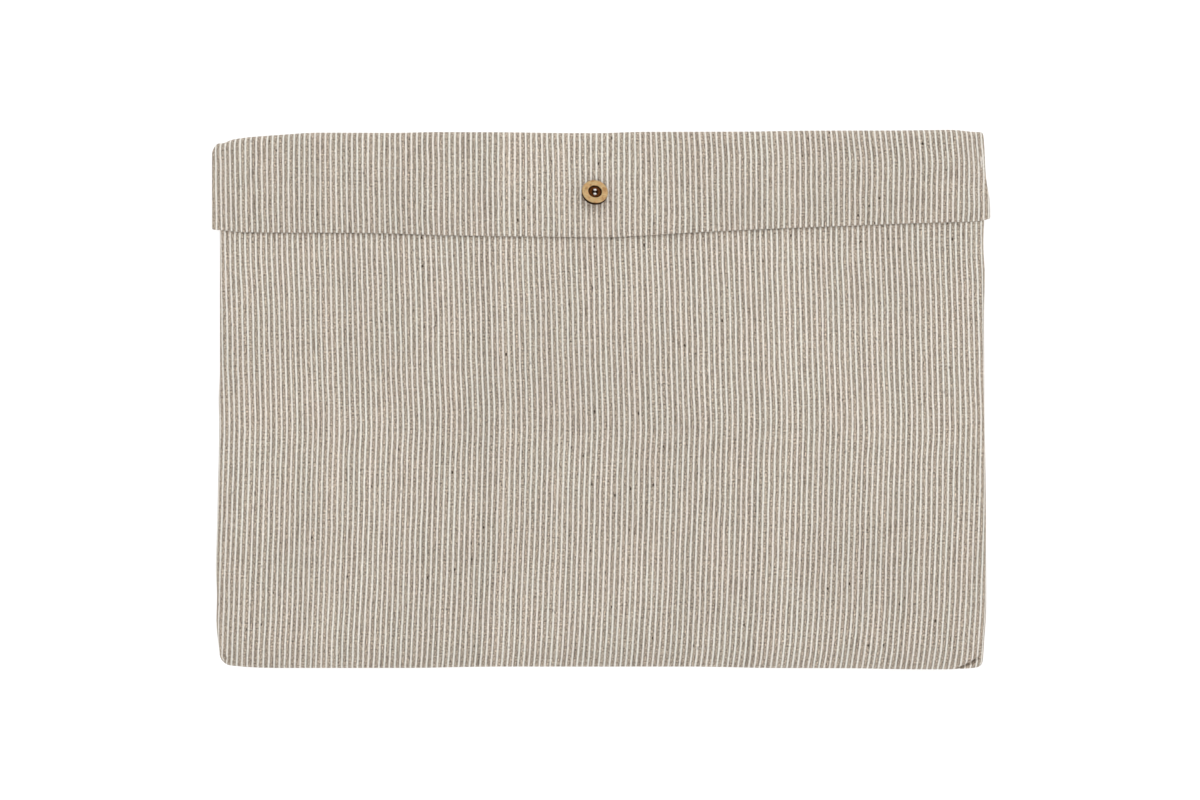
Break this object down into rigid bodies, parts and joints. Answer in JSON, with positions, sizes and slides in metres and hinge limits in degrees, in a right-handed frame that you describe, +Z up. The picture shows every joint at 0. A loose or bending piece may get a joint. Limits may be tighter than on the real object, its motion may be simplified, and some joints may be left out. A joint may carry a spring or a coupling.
{
  "type": "laptop sleeve",
  "caption": "Padded fabric laptop sleeve: a flat pouch with a fold-over flap held by hidden magnets under a sewn wooden button.",
  "frame": {"origin": "middle of the sleeve's footprint, on the surface the back panel lies on", "axes": "+X along the pouch's width, +Y toward the folded edge, +Z up out of the front panel"},
  "size_m": [0.3874, 0.2675, 0.0302],
  "materials": {
    "striped_linen": "woven linen with narrow taupe and off-white stripes along the pouch's depth",
    "lining_linen": "plain woven natural linen",
    "wadding": "needled padding",
    "interlining": "thin fusible fleece",
    "seam_linen": "turned-in seam margins of the striped linen",
    "cotton_thread": "off-white sewing thread",
    "button_wood": "pale turned wood with a burnt dish and edge",
    "magnet_nickel": "nickel plated"
  },
  "bodies": {
    "pouch": {"back_panel": "striped_linen", "back_padding": "wadding", "back_lining": "lining_linen", "front_panel": "striped_linen", "front_padding": "wadding", "front_lining": "lining_linen", "side_seam_left": "seam_linen", "side_seam_right": "seam_linen", "bottom_seam": "seam_linen", "front_magnet": "magnet_nickel"},
    "spine": {"spine_panel": "striped_linen", "spine_interlining": "interlining", "spine_lining": "lining_linen"},
    "flap": {"flap_panel": "striped_linen", "flap_interlining": "interlining", "flap_facing": "lining_linen", "flap_seam": "seam_linen", "flap_magnet": "magnet_nickel", "thread_shank": "cotton_thread"},
    "button": {"wooden_button": "button_wood", "button_thread": "cotton_thread"}
  },
  "joints": [
    {"name": "spine_fold", "type": "hinge", "parent": "pouch", "child": "spine", "pos_m": [0, 0.13268, 0.00107], "axis": [-1, 0, 0], "range_deg": [0, 84]},
    {"name": "flap_fold", "type": "hinge", "parent": "spine", "child": "flap", "pos_m": [0, 0.13268, 0.02133], "axis": [-1, 0, 0], "range_deg": [0, 84]},
    {"name": "button_rock", "type": "hinge", "parent": "flap", "child": "button", "pos_m": [-0.00325, 0.102, 0.02555], "axis": [1, 0, 0], "range_deg": [0, 52]}
  ],
  "couplings": [
    {"joint": "flap_fold", "follows": "spine_fold", "ratio": 1}
  ]
}
